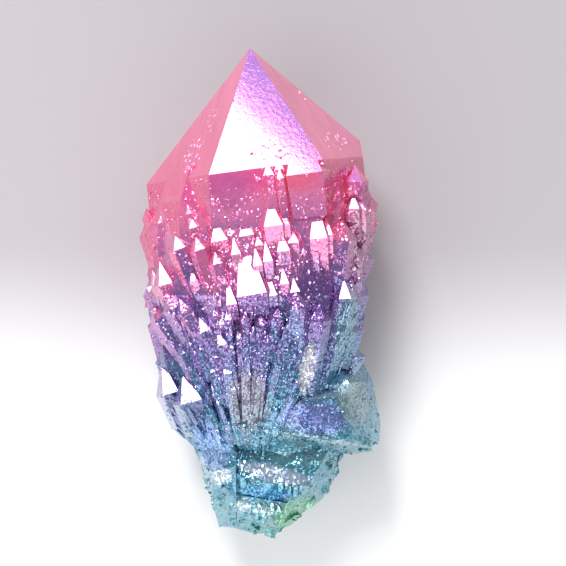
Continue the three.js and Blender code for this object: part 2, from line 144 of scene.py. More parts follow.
class Graph:
    """A material's node tree, built from expressions; lengths in it are in millimetres."""

    def __init__(self, name: str) -> None:
        """Adds a material and starts its tree anew.

        Args:
            name: The material's name.
        """
        self.material = bpy.data.materials.new(name)
        self.material.use_nodes = True
        self.tree = self.material.node_tree
        self.tree.nodes.clear()
        coordinates = self.node("ShaderNodeTexCoord", {}, {})
        self.normal = coordinates["Normal"]
        self.place = self.vector("MULTIPLY", coordinates["Object"], (1 / MM,) * 3)[0]

    def node(self, kind: str, settings: Mapping[str, Any], links: Mapping[Any, Value]) -> Outputs:
        """Adds a node.

        Args:
            kind: The node's type.
            settings: What is set on the node itself, before its sockets. A key "stops" holds a
                ramp's positions and colours.
            links: Socket names or numbers, with a value or a wrapped socket for each.

        Returns:
            The node's outputs, by number and by name.
        """
        node = self.tree.nodes.new(kind)
        for name, value in settings.items():
            if name != "stops":
                setattr(node, name, value)
                continue
            elements = node.color_ramp.elements
            for _ in value[len(elements):]:
                elements.new(0.5)
            for element, (position, colour) in zip(elements, value):
                element.position, element.color = position, colour
        for name, value in links.items():
            if isinstance(value, Sock):
                self.tree.links.new(value.socket, node.inputs[name])
            else:
                node.inputs[name].default_value = value
        outputs = {output.name: Sock(self, output) for output in node.outputs}
        return {**outputs, **{number: Sock(self, output) for number, output in enumerate(node.outputs)}}

    def mix(self, factor: Value, first: Value, second: Value, blend: str = "MIX") -> Sock:
        """Mixes two colours; the factor is the share of the second."""
        settings = {"data_type": "RGBA", "blend_type": blend}
        return self.node("ShaderNodeMix", settings, {0: factor, 6: first, 7: second})[2]

    def vector(self, operation: str, *values: Value) -> Outputs:
        """Adds one Vector Math node; its first output is a vector, its second a value."""
        return self.node("ShaderNodeVectorMath", {"operation": operation}, dict(enumerate(values)))

    def dot(self, first: Sock, second: Value) -> Sock:
        """The dot product of two vectors."""
        return self.vector("DOT_PRODUCT", first, second if isinstance(second, Sock) else tuple(second))[1]

    def split(self, colour: Sock) -> list[Sock]:
        """The red, green and blue of a colour."""
        parts = self.node("ShaderNodeSeparateColor", {}, {0: colour})
        return [parts[number] for number in range(3)]

    def noise(self, scale: float, detail: float, roughness: float, place: Sock | None = None) -> Sock:
        """Noise from 0 to 1, with so many waves per millimetre, at the place unless another is given."""
        links = {"Vector": place or self.place, "Scale": scale, "Detail": detail, "Roughness": roughness}
        return self.node("ShaderNodeTexNoise", {}, links)["Fac"]


# How the quartz grows


@dataclass(frozen=True)
class Growth:
    """The directions of the crystal's lattice, and where its tip is."""

    tip: Array
    lean: float = math.radians(7.6)
    pyramid_angle: float = math.radians(38.2)
    fan_distance: float = 110 * MM
    root: Triple = (-2 * MM, -26 * MM, 9 * MM)

    @property
    def axis(self) -> Array:
        """The growth axis."""
        return np.array([-math.sin(self.lean), math.cos(self.lean), 0.0])

    def face(self, degrees: float) -> Array:
        """Finds the normal of a pyramid face.

        Args:
            degrees: How far it is turned round the axis, from straight up.

        Returns:
            A unit vector.
        """
        angle = math.radians(degrees)
        flat = math.sin(angle) * np.cross(self.axis, UP) + math.cos(angle) * np.array(UP)
        return self.axis * math.sin(self.pyramid_angle) + flat * math.cos(self.pyramid_angle)

    @property
    def front(self) -> Array:
        """The normal of the pyramid face that is turned up."""
        return self.face(0)

    def on_main_face(self, x: float, y: float) -> Array:
        """The place on the large upward face that is seen at x and y from above, all in metres."""
        fall = (self.front[0] * (x - self.tip[0]) + self.front[1] * (y - self.tip[1])) / self.front[2]
        return np.array([x, y, self.tip[2] - fall])

    def below_tip(self, places: Array) -> Array:
        """How far each place lies below the tip, along the axis."""
        return (self.tip - places) @ self.axis

    def directions(self, places: Array, spread: float) -> Array:
        """The way in which small points grow.

        Args:
            places: One row for each point.
            spread: From 0, all parallel, to 1, all away from the root.

        Returns:
            Unit vectors.
        """
        below = self.below_tip(places)
        on_axis = self.tip - below[:, None] * self.axis
        parallel = self.axis + (places - on_axis) / self.fan_distance
        return unit(parallel * (1 - spread) + unit(places - np.array(self.root)) * spread)


class Skin:
    """The triangles of the crystal's outside, for scattering things over them."""

    def __init__(self, mesh: bpy.types.Mesh) -> None:
        """Reads a mesh.

        Args:
            mesh: The crystal, all triangles.
        """
        self.growth = Growth(highest_along_y(mesh))
        self.corners = np.array([[mesh.vertices[k].co for k in face.vertices] for face in mesh.polygons])
        first, second, third = np.moveaxis(self.corners, 1, 0)
        cross = np.cross(second - first, third - first)
        twice = np.linalg.norm(cross, axis=1)
        self.normals = cross / np.maximum(twice, 1e-18)[:, None]
        self.areas = twice / 2

    def scatter(self, count: int, rng: Random) -> tuple[Array, Array, Array]:
        """Spreads places evenly over the outside.

        Args:
            count: How many places.
            rng: Random numbers.

        Returns:
            The places, their normals and the areas of their triangles.
        """
        share = np.cumsum(self.areas) / self.areas.sum()
        chosen = np.minimum(np.searchsorted(share, rng.random(count)), len(share) - 1)
        first, second = np.sort(rng.random((2, count)), axis=0)
        weights = np.stack([first, second - first, 1 - second], axis=1)
        places = (self.corners[chosen] * weights[:, :, None]).sum(axis=1)
        return places, self.normals[chosen], self.areas[chosen]


class Solids:
    """Small closed solids, in layers in which none touches another."""

    def __init__(self) -> None:
        """Starts with no solids."""
        self.layers: list[list[Shape]] = []
        self.boxes: list[Array] = []

    def add(self, shape: Shape) -> None:
        """Puts a solid into the first layer where its box is free.

        Args:
            shape: The solid.
        """
        low, high = shape[0].min(axis=0), shape[0].max(axis=0)
        box = np.concatenate([low, high])
        for layer, boxes in enumerate(self.boxes):
            meets = (boxes[:, :3] <= high).all(axis=1) & (boxes[:, 3:] >= low).all(axis=1)
            if not meets.any():
                self.layers[layer].append(shape)
                self.boxes[layer] = np.vstack([boxes, box])
                return
        self.layers.append([shape])
        self.boxes.append(box[None, :])

    def tools(self, operation: str) -> list[tuple[bpy.types.Object, str]]:
        """Makes one mesh object for each layer.

        Args:
            operation: The boolean operation they are for.

        Returns:
            The objects, in no collection yet, each with the operation.
        """
        made = []
        for number, layer in enumerate(self.layers):
            starts = np.cumsum([0] + [len(verts) for verts, _ in layer])
            verts = np.concatenate([verts for verts, _ in layer])
            faces = [tuple(int(k + start) for k in face)
                     for (_, own), start in zip(layer, starts) for face in own]
            mesh = bpy.data.meshes.new(f"{operation.lower()}_{number}")
            mesh.from_pydata(verts.tolist(), [], faces)
            made.append((bpy.data.objects.new(mesh.name, mesh), operation))
        return made


def in_patches(places: Array, patches: Sequence[Patch]) -> Array:
    """Says which places lie in any of several ellipses."""
    middles, halves = np.split(np.array(patches), 2, axis=1)
    return ((((places[:, None, :2] / MM - middles) / halves) ** 2).sum(axis=2) < 1).any(axis=1)


class Cover(Enum):
    """What part of the crystal a family without patches grows on."""

    BODY = "the body, between the larger points"
    LOWER = "the lower body and the flanks"


class Grain(Enum):
    """The shape of a small solid."""

    POINT = "a six-sided quartz point"
    CHIP = "a chip with flat faces"


@dataclass(frozen=True)
class SmallGrowth:
    """A family of small quartz solids of like size, in millimetres."""

    name: str
    tries: int
    height: Span  # height of the pyramid, or size of the chip
    seed: int
    cover: Cover = Cover.BODY
    grain: Grain = Grain.POINT
    slenderness: float = 2.0  # length over height
    width: Span = (0.55, 1.0)  # half width over height
    rise: Span = (0.1, 0.5)  # how far it stands out, over height
    side_rise: float = 0.4  # share of that on the sides and the underside
    sink: float = 0.35  # how far its foot goes under, over height
    spread: float = 0.1
    disorder: float = 0.05
    clumping: float = 0.0  # 0 spreads the family evenly, 1 leaves wide gaps
    clump: float = 2.2
    patches: tuple[Patch, ...] = ()
    # nearly clear places: parts of the large prism faces, and the ledge's smooth facet
    clear: tuple[Patch, ...] = (
        (-3.6, 15.5, 3.4, 2.2), (5.6, 15.6, 2.4, 1.8), (-9.5, 18.5, 2.2, 3), (14.3, -15.8, 2, 3.6))
    body_from: float = 16.5  # distances below the tip
    lower_from: Span = (27, 35)
    root_below: float = 55.0
    large_facet: float = 0.8
    # how many stay on the sides, the underside, large facets and clear places
    thinned: tuple[float, float, float, float] = (0.6, 0.45, 0.55, 0.03)

    def _share(self, growth: Growth, scattered: tuple[Array, ...]) -> Array:
        """How likely a solid is to grow at each place.

        Args:
            growth: The growth directions.
            scattered: Places, normals and triangle areas.

        Returns:
            Values from 0 to 1 or a little more.
        """
        places, normals, areas = scattered
        if self.patches:
            return in_patches(places, self.patches) * (normals[:, 2] > 0.1)
        side, under, large, clear = self.thinned
        below = growth.below_tip(places) / MM
        share = np.ones(len(places))
        share[normals @ growth.axis > 0.4] = 0
        share[(below < self.body_from) | (below > self.root_below)] = 0
        share[places[:, 2] < 0.4 * MM] = 0
        share[normals[:, 2] < 0.25] *= side
        share[normals[:, 2] < -0.3] *= under
        share[areas > self.large_facet * MM ** 2] *= large
        share[in_patches(places, self.clear) & (normals[:, 2] > 0.5)] *= clear
        if self.cover is Cover.LOWER:
            start, end = self.lower_from
            share *= np.clip((below - start) / (end - start), 0, 1)
        if self.clumping:
            cloud = np.array([noise.noise(Vector(place / (self.clump * MM))) for place in places])
            share *= 1 - self.clumping + self.clumping * np.clip(0.5 + 3 * cloud, 0, 1) * 1.6
        return share

    def grow(self, skin: Skin, solids: Solids) -> int:
        """Grows the family on the crystal.

        Args:
            skin: The crystal's outside.
            solids: Where the small solids are added.

        Returns:
            How many grew.
        """
        rng = np.random.default_rng(self.seed)
        scattered = skin.scatter(self.tries, rng)
        kept = rng.random(self.tries) < self._share(skin.growth, scattered)
        places, normals = scattered[0][kept], scattered[1][kept]
        count = len(places)
        low, high = self.height
        heights = (rng.uniform(0, 1, count) ** 2 * (high - low) + low) * MM
        upward = np.clip(normals[:, 2] / 0.5, 0, 1)
        rises = heights * rng.uniform(*self.rise, count) * (self.side_rise + (1 - self.side_rise) * upward)
        if self.grain is Grain.CHIP:
            for place, normal, size, rise in zip(places, normals, heights, rises):
                solids.add(splinter(place + normal * (rise - size), size, rng))
            return count
        widths = heights * rng.uniform(*self.width, count)
        ways = unit(skin.growth.directions(places, self.spread) + rng.normal(0, self.disorder, (count, 3)))
        for place, normal, way, height, width, rise in zip(places, normals, ways, heights, widths, rises):
            apothem = height * math.tan(skin.growth.pyramid_angle)
            tip = place + normal * (rise - apothem) + way * height * 0.5
            sizes = (height, width, height * self.slenderness)
            solids.add(quartz_point(skin.growth, tip, way, sizes, -self.sink * normal * height))
        return count


def quartz_point(growth: Growth, tip: Array, way: Array, sizes: Triple, sink: Array) -> Shape:
    """A six-sided quartz point, whose foot is a little smaller.

    Args:
        growth: Gives the slope of the pyramid faces.
        tip: Where its tip is.
        way: The direction in which it grows.
        sizes: Height of its pyramid, half its width over the corners, and its length.
        sink: How the foot is moved, to go under.

    Returns:
        The point.
    """
    height, width, length = sizes
    side = unit(np.cross(way, UP))
    front = np.cross(side, way)
    radius = height * math.tan(growth.pyramid_angle) / math.cos(math.radians(30))
    angles = np.radians(np.arange(6) * 60 + 30)
    ring = np.outer(np.sin(angles) * width, side) + np.outer(np.cos(angles) * radius, front)
    verts = np.vstack([tip, tip - way * height + ring, tip - way * length + sink + ring * 0.85])
    faces: list[tuple[int, ...]] = []
    for k in range(6):
        after = (k + 1) % 6
        faces += [(0, 1 + k, 1 + after), (1 + k, 7 + k, 7 + after, 1 + after)]
    return verts, [*faces, tuple(range(12, 6, -1))]


@dataclass(frozen=True)
class BrokenRoot:
    """The rough break at the root and the ledge: shell-shaped scoops and chips, in millimetres."""

    tries: int = 9000
    below: float = 53.0  # the break starts this far below the tip
    scoop_radius: Span = (0.8, 3.2)
    scoop_depth: float = 0.10  # share of its radius
    deepest: float = 0.45  # no scoop cuts deeper
    scoops: int = 160
    chips: int = 800
    chip_size: Span = (0.15, 0.55)
    chip_sink: float = 0.35  # share of its size
    # the ledge, right of x and below y, and its facet that stays whole
    ledge: Span = (9, -12)
    smooth: tuple[Patch, ...] = ((14.2, -15.6, 2.6, 4.2),)
    seed: int = 11

    def _places(self, skin: Skin, rng: Random) -> tuple[Array, Array]:
        """Chooses places over the break.

        Args:
            skin: The crystal's outside.
            rng: Random numbers.

        Returns:
            The places and their normals.
        """
        places, normals, _ = skin.scatter(self.tries, rng)
        below = skin.growth.below_tip(places) / MM
        ledge = (places[:, 0] > self.ledge[0] * MM) & (places[:, 1] < self.ledge[1] * MM)
        kept = ((below > self.below) | ledge) & (places[:, 2] > 0.5 * MM)
        kept &= ~(in_patches(places, self.smooth) & (normals[:, 2] > 0.2))
        return places[kept], normals[kept]

    def build(self, skin: Skin, away: Solids, added: Solids) -> None:
        """Makes the scoops and the chips.

        Args:
            skin: The crystal's outside.
            away: What is cut away.
            added: What is joined on.
        """
        rng = np.random.default_rng(self.seed)
        places, normals = self._places(skin, rng)
        made = 0
        for place, normal in zip(places[:self.scoops], normals[:self.scoops]):
            radius = rng.uniform(*self.scoop_radius) * MM
            middle = place + normal * radius * (1 - self.scoop_depth * rng.uniform(0.5, 1.6))
            nearest = np.linalg.norm(places - middle, axis=1).min()
            if radius - nearest < self.deepest * MM:
                away.add(shell(middle, radius, rng))
                made += 1
        rng = np.random.default_rng(self.seed + 1)
        places, normals = self._places(skin, rng)
        for place, normal in zip(places[:self.chips], normals[:self.chips]):
            size = rng.uniform(*self.chip_size) * MM
            added.add(splinter(place - normal * size * self.chip_sink, size, rng))
        log.info("root: %d scoops, %d chips", made, min(self.chips, len(places)))


@dataclass(frozen=True)
class Pits:
    """Small dents in the large upward face, near its foot and at its left edge, in millimetres."""

    groups: tuple[tuple[Patch, int], ...] = (((1.4, 19.6, 2.6, 1.2), 16), ((-3.9, 27.6, 0.3, 1), 3))
    radius: Span = (0.12, 0.34)
    lift: float = 0.4  # of its middle over the face, as a share of the radius
    seed: int = 21

    def build(self, growth: Growth, away: Solids) -> None:
        """Makes the dents.

        Args:
            growth: Gives the face.
            away: What is cut away.
        """
        rng = np.random.default_rng(self.seed)
        for (x, y, half_width, half_height), count in self.groups:
            for _ in range(count):
                across, along = rng.uniform(-1, 1, 2)
                place = growth.on_main_face((x + across * half_width) * MM, (y + along * half_height) * MM)
                radius = rng.uniform(*self.radius) * MM
                away.add(shell(place + growth.front * radius * self.lift, radius, rng))
        log.info("pits: %d", sum(count for _, count in self.groups))


def shape_of(work: bmesh.types.BMesh) -> Shape:
    """The vertices and faces of a mesh."""
    return np.array([v.co for v in work.verts]), [tuple(v.index for v in f.verts) for f in work.faces]


def shell(middle: Array, radius: float, rng: Random) -> Shape:
    """A coarse, flattened ball, which leaves the hollow of a shell-shaped break.

    Args:
        middle: Its middle.
        radius: Its radius.
        rng: Random numbers.

    Returns:
        The ball.
    """
    ball = bmesh.new()
    bmesh.ops.create_icosphere(ball, subdivisions=2, radius=radius)
    verts, faces = shape_of(ball)
    turn = np.linalg.qr(rng.normal(size=(3, 3)))[0]
    turn *= np.sign(np.linalg.det(turn))
    return (verts * rng.uniform(0.8, 1.2, 3)) @ turn + middle, faces


def splinter(middle: Array, size: float, rng: Random) -> Shape:
    """A chip with flat faces: the hull of a few scattered corners.

    Args:
        middle: Its middle.
        size: How far its corners reach.
        rng: Random numbers.

    Returns:
        The chip.
    """
    hull = bmesh.new()
    corners = rng.normal(size=(9, 3))
    corners *= size * rng.uniform(0.7, 1.0, (9, 1)) / np.linalg.norm(corners, axis=1, keepdims=True)
    for corner in corners:
        hull.verts.new(corner + middle)
    result = bmesh.ops.convex_hull(hull, input=list(hull.verts))
    inside = [v for v in result["geom_interior"] if isinstance(v, bmesh.types.BMVert)]
    bmesh.ops.delete(hull, geom=inside, context="VERTS")
    hull.verts.index_update()
    bmesh.ops.recalc_face_normals(hull, faces=hull.faces)
    return shape_of(hull)


# The film over the quartz


@dataclass(frozen=True)
class Lustre:
    """How one part of the crystal shines, and how far it can be seen into."""

    transmission: float
    metallic: float
    film: float  # thickness of the film in nanometres
    film_index: float  # refractive index of its metal oxide
    coat_index: float = 1.5
    coat_roughness: float = 0.05
    quartz_index: float = 1.544

    def shader(self, graph: Graph, varying: Mapping[str, Sock]) -> Sock:
        """Adds the shader.

        Args:
            graph: The node tree.
            varying: What changes over the surface, by the shader's sockets.

        Returns:
            The shader's output.
        """
        fixed = {
            "Metallic": self.metallic, "IOR": self.quartz_index, "Transmission Weight": self.transmission,
            "Coat Weight": 1.0, "Coat Roughness": self.coat_roughness, "Coat IOR": self.coat_index,
            "Thin Film Thickness": self.film, "Thin Film IOR": self.film_index}
        return graph.node("ShaderNodeBsdfPrincipled", {}, {**fixed, **varying})[0]


@dataclass(frozen=True)
class Spot:
    """A soft-edged ellipse seen from above, in millimetres."""

    x: float
    y: float
    half_width: float
    half_height: float
    strength: float
    turn: float = 0.0  # degrees, anticlockwise

    def share(self, graph: Graph, unevenness: Sock) -> Sock:
        """How strongly the spot is felt.

        Args:
            graph: The node tree.
            unevenness: Makes the edge uneven.

        Returns:
            A value from 0 to the spot's strength.
        """
        sine, cosine = math.sin(math.radians(self.turn)), math.cos(math.radians(self.turn))
        offset = graph.vector("SUBTRACT", graph.place, (self.x, self.y, 0.0))[0]
        across = graph.dot(offset, (cosine / self.half_width, sine / self.half_width, 0.0))
        along = graph.dot(offset, (-sine / self.half_height, cosine / self.half_height, 0.0))
        return (across * across + along * along + unevenness).step(1.5, 0.4) * self.strength


@dataclass(frozen=True)
class Glints:
    """Tiny facets parallel to the large upward face, which flash with it."""

    density: float  # share of the grains that flash
    spots: tuple[Spot, ...] = ()  # where they are, or everywhere without spots
    scale: float = 2.1  # grains per millimetre
    stretch: float = 0.65  # below 1 the facets are long
    turn: float = 7.6  # degrees that their long sides lean to the left
    size: Span = (0.18, 0.58)  # how far a facet reaches over its grain

    def amount(self, graph: Graph) -> Sock:
        """Where the facets are.

        Args:
            graph: The node tree.

        Returns:
            1 on a facet, and 0 elsewhere.
        """
        links = {"Vector": graph.place, "Angle": -math.radians(self.turn)}
        turned = graph.node("ShaderNodeVectorRotate", {"rotation_type": "Z_AXIS"}, links)["Vector"]
        links = {"Vector": graph.vector("MULTIPLY", turned, (1.0, self.stretch, 1.0))[0], "Scale": self.scale}
        grains = graph.node("ShaderNodeTexVoronoi", {"distance": "MANHATTAN"}, links)
        chance, extent, _ = graph.split(grains["Color"])
        felt = clumps = graph.noise(0.55, 2.0, 0.6).step(0.38, 0.68)
        if self.spots:
            first, *others = (spot.share(graph, clumps) for spot in self.spots)
            felt = sum(others, first)
        low, high = self.size
        reach = low + (high - low) * extent * extent
        chosen = (felt * self.density - chance).step(0.0, 0.02)
        return chosen * (reach - grains["Distance"]).step(0.0, 0.08)


@dataclass(frozen=True)
class AuraFilm:
    """Clear quartz under a pearly metal film whose colour changes from the tip to the root; some of its
    colours are painted highlights, shade and sheen.
    """

    # distance below the tip in millimetres, with the film's colour there
    bands: tuple[tuple[float, str], ...] = (
        (0, "#f080b4"), (14, "#ec62a0"), (20, "#ec609e"), (26, "#f08cbc"), (32, "#d68ac4"), (37, "#a47abe"),
        (43, "#7e78b8"), (49, "#6c88b8"), (55, "#5a9cb8"), (62, "#58a4ba"), (70, "#68b2b6"))
    # painted violet sheen on the main face: tip, foot and cloudy patches
    painted_lilac_sheen: tuple[str, str, str] = ("#a87ee0", "#c070b4", "#9478dc")
    tints_and_painted_light: tuple[tuple[str, Spot], ...] = (
        ("#b4609f", Spot(-4.3, 14.4, 3.2, 2.8, 0.5)),  # the upper prism face
        ("#fc7484", Spot(5.3, 16.4, 2.8, 2.2, 0.6)),
        ("#7a52aa", Spot(7.8, -0.6, 2.3, 5.8, 0.6, 6)),  # the right side
        ("#7484b4", Spot(4.4, -3.6, 1, 3.8, 0.6, 25)),
        ("#7aaabc", Spot(12.2, -4.2, 1.6, 5.4, 0.75, -9)),
        # a painted highlight: white glints on a streak right of the fan
        ("#f2eef8", Spot(6.7, -10.2, 1, 3.4, 0.85, -10)),
        ("#a09098", Spot(-1.5, -14.8, 2.8, 4.2, 0.55)),  # the foot of the fan
        ("#8e9adc", Spot(8, -17.2, 5.2, 2.3, 0.8, -4)),  # the ledge
        ("#8cacb2", Spot(13.2, -15, 2.4, 3.4, 0.8, 10)),
        # a painted highlight along the ledge's lip, then painted shade under it
        ("#d4e6ee", Spot(8.4, -20.2, 6.6, 0.45, 0.55, -9)),
        ("#3e8ca0", Spot(8.8, -21.3, 6.6, 0.7, 0.6, -9)),
        ("#d4e8f6", Spot(-6.4, -22.6, 1.5, 2.4, 0.6, 25)),  # painted highlights on the root
        ("#eef6ff", Spot(-5.4, -25.4, 1.4, 1.3, 0.85)),
        ("#f0faff", Spot(-2.3, -29.6, 1.2, 0.9, 0.85)),
        ("#e4f6fa", Spot(0.9, -30.5, 1.6, 0.9, 0.7)),
        ("#ff8cc4", Spot(9, 23, 3.2, 7, 0.45, 38)),  # the upper right side
        ("#b464b4", Spot(14.7, 13.8, 1.5, 2.2, 0.5)),
        ("#a890a8", Spot(14.2, 7.5, 2, 5.5, 0.5)),
        ("#88bcca", Spot(5.2, -22.6, 5.6, 1.4, 0.7, -6)),  # below the ledge
        ("#98bcf0", Spot(-6.7, -21.2, 2.3, 3.6, 0.7, 25)),  # the root, from its left
        # a painted highlight along the root's ridge
        ("#dce4fa", Spot(2.2, -25.2, 5.2, 1.2, 0.8, -14)),
        ("#3294cc", Spot(1.2, -28, 4.4, 1, 0.75, -8)),
        ("#86c8a0", Spot(4.9, -31.2, 3.2, 2.2, 0.75, 32)))
    hue_shift: float = 9.0  # how far the colour moves along the bands from facet to facet
    mottle: float = 20.0  # from grain to grain
    prism_shift: float = 4.0  # on faces that are turned up
    cloud_shift: float = 9.0  # how far the bands wander
    right_shift: float = 0.18  # how steeply they fall to the right
    streaks: float = 0.65  # contrast on the smooth faces
    clear: Lustre = Lustre(transmission=0.2, metallic=0.1, film=265.0, film_index=2.0)
    coated: Lustre = Lustre(transmission=0.05, metallic=0.65, film=248.0, film_index=1.75)
    coated_from: Span = (17, 34)  # the clear part ends here
    druse_from: Span = (15, 26)
    grain_scale: float = 3.4  # grains per millimetre
    quartz: tuple[str, float] = ("#ffd8ea", 8.0)  # colour and density of the absorption inside
    roughness: Span = (0.06, 0.22)  # lowest, and what the druse adds
    polish: Span = (0.008, 0.006)  # height of the uneven polish, and what the druse adds
    face_height: Span = (0.45, 0.35)  # of the tiny faces, and what the root adds
    rib_height: float = 0.2
    rib_scale: Triple = (34, 0.16, 1.2)  # round the fan, along it and upwards
    glint_tilt: float = 0.05  # how far they are turned up from the main face
    druse_glints: tuple[Glints, Glints] = (Glints(0.6), Glints(0.3, scale=1.3, size=(0.2, 0.55)))
    face_glints: tuple[Glints, ...] = (
        Glints(  # long, on the left pyramid face
            0.7, (Spot(-9.4, 19.2, 1.4, 3.2, 1, -17), Spot(-7.1, 24, 0.8, 3, 0.7, -17)),
            scale=2.4, stretch=0.5, turn=-17, size=(0.2, 0.85)),
        Glints(  # the right pyramid face, and round the foot of the main face
            0.8, (Spot(10.4, 21.8, 1.6, 2.2, 1, 30), Spot(5.2, 29.4, 0.5, 2.6, 0.6, 36),
                  Spot(-4.4, 13, 1.4, 3, 0.6), Spot(10, 15, 1.6, 3, 0.8), Spot(2, 16.4, 1.6, 2.8, 1)),
            scale=2.4, turn=20, size=(0.25, 0.75)),
        Glints(  # large, on the root
            1, (Spot(-5.9, -24.6, 1.6, 2.6, 1), Spot(-2.3, -29.9, 1.3, 1.2, 1),
                Spot(0.9, -30.3, 1.8, 1.2, 1)),
            scale=0.7, turn=60, size=(0.4, 1)),
        Glints(  # the root's ridge, the white streak right of the fan and the ledge
            1, (Spot(2.2, -25.2, 4.6, 0.9, 0.8, -14), Spot(6.4, -10.8, 0.9, 2.6, 1),
                Spot(8, -16.8, 4.6, 1.4, 0.6, -12)),
            scale=1.8, turn=70, size=(0.25, 0.8)))


class AuraGraph(Graph):
    """The film's node tree."""

    def __init__(self, film: AuraFilm, growth: Growth) -> None:
        """Builds the whole tree.

        Args:
            film: The finish.
            growth: Says where the tip is and how the axis leans.
        """
        super().__init__("aura_film_on_quartz")
        self.film, self.growth = film, growth
        self.front = self.dot(self.normal, growth.front)
        self.across = self.dot(self.place, (1.0, 0.0, 0.0))
        self.below = self._below_tip()
        self.druse = self.below.step(*film.druse_from)
        # each facet's own tone and hue, and whether it is large
        self.facet = self.split(self.node("ShaderNodeAttribute", {"attribute_name": "facet"}, {})["Color"])
        calm = self.facet[2] * self.below.step(36, 26), self.facet[2] * self.front.step(0.965, 0.985)
        self.rough = self.druse * (1 - 0.45 * calm[0]) * (1 - 0.92 * calm[1])
        self.cells = self.node("ShaderNodeTexVoronoi", {}, {"Vector": self.place, "Scale": film.grain_scale})
        self.glint = self._glint()
        lowest, more = film.roughness
        roughness = lowest + more * self.rough * self.noise(0.9, 3.0, 0.6) * (1 - self.glint)
        varying = {"Base Color": self._colour(), "Roughness": roughness, "Normal": self._relief()}
        clear, coated = (lustre.shader(self, varying) for lustre in (film.clear, film.coated))
        share = self.below.step(*film.coated_from)
        surface = self.node("ShaderNodeMixShader", {}, {0: share, 1: clear, 2: coated})[0]
        tint, density = film.quartz
        inside = self.node("ShaderNodeVolumeAbsorption", {}, {"Color": linear(tint), "Density": density})[0]
        self.node("ShaderNodeOutputMaterial", {}, {"Surface": surface, "Volume": inside})

    def _below_tip(self) -> Sock:
        """Distance below the tip, made uneven and longer to the right.

        Returns:
            Millimetres.
        """
        axis = self.growth.axis
        plain = float(self.growth.tip @ axis) / MM - self.dot(self.place, axis)
        cloud = (self.noise(0.14, 3.0, 0.55) - 0.5) * self.film.cloud_shift
        return plain + cloud * plain.step(8, 30) + self.across * self.film.right_shift * plain.step(24, 42)

    def _glint(self) -> Sock:
        """Where the glints are.

        Returns:
            1 on a glint, and 0 elsewhere.
        """
        first, second = (glints.amount(self) for glints in self.film.druse_glints)
        fewer = self.druse * (0.4 + 0.6 * self.rough) * (1 - 0.75 * self.below.step(38, 48))
        glint = first.higher_of(second) * fewer
        for glints in self.film.face_glints:
            glint = glint.higher_of(glints.amount(self))
        return glint * self.front.step(0.3, 0.5) * (1 - self.front.step(0.97, 0.99))

    def _colour(self) -> Sock:
        """The film's colour, with a random shade for every facet, and painted shade deeper in crevices and on
        faces turned up.

        Returns:
            The colour.
        """
        film, below, druse = self.film, self.below, self.druse
        tone, hue, _ = self.facet
        painted_crevice_shade = self.cells["Distance"].step(0.35, 0.75) * self.rough
        upward = self.dot(self.normal, UP)
        prism, front = upward.step(0.93, 0.99), self.front.step(0.99, 0.998)
        grains = self.noise(1.3, 4.0, 0.75) - 0.5
        wander = (hue - 0.5) * film.hue_shift + prism * film.prism_shift + grains * film.mottle
        span = film.bands[-1][0]
        stops = [(distance / span, linear(code)) for distance, code in film.bands]
        links = {"Fac": (below + wander * druse) / span}
        band = self.node("ShaderNodeValToRGB", {"stops": stops}, links)["Color"]
        shown, unevenness = upward.step(-0.1, 0.3), grains * 3.0
        # tints of the film, and spots of painted highlight and painted shade
        for code, spot in film.tints_and_painted_light:
            band = self.mix(spot.share(self, unevenness) * shown, band, linear(code))
        # painted sheen: lilac on facets parallel to the main face, near the tip
        tip, foot, cloudy = (linear(code) for code in film.painted_lilac_sheen)
        clouds = self.noise(0.6, 5.0, 0.75).step(0.42, 0.6) * 0.75
        painted_lilac_sheen = self.mix(clouds, self.mix(below.step(4, 20), tip, foot), cloudy)
        band = self.mix(front * below.step(26, 22) * 0.9, band, painted_lilac_sheen)
        deep = self.mix(1.0, band, band, "MULTIPLY")
        # painted shade: deeper in crevices and on faces turned up; the random tone per facet is the film's
        # own
        band = self.mix(druse * (0.3 * (1 - tone) + 0.1 * prism) + 0.45 * painted_crevice_shade, band, deep)
        streaks = film.streaks * (self._streaks() - 0.5) * (1 - druse) * (1 - front)
        shade = 1.04 + 0.4 * grains * (0.4 + 0.6 * druse) + streaks
        grey = self.node("ShaderNodeCombineColor", {}, {0: shade, 1: shade, 2: shade})[0]
        return self.mix(1.0, band, grey, "MULTIPLY")

    def _streaks(self) -> Sock:
        """Noise drawn out along the main face's left edge on the left, and its right one on the right.

        Returns:
            A value from 0 to 1.
        """
        sides = []
        for turn in (-60, 60):
            edge = tuple(unit(np.cross(self.growth.front, self.growth.face(turn))))
            along = self.dot(self.place, edge) * -0.9
            drawn = self.vector("MULTIPLY_ADD", along, edge, self.place)[0]
            sides.append(self.noise(1.0, 4.0, 0.7, drawn))
        off = self.across - float(self.growth.tip[0]) / MM
        return sides[0] + (sides[1] - sides[0]) * off.step(-0.01, 0.01)

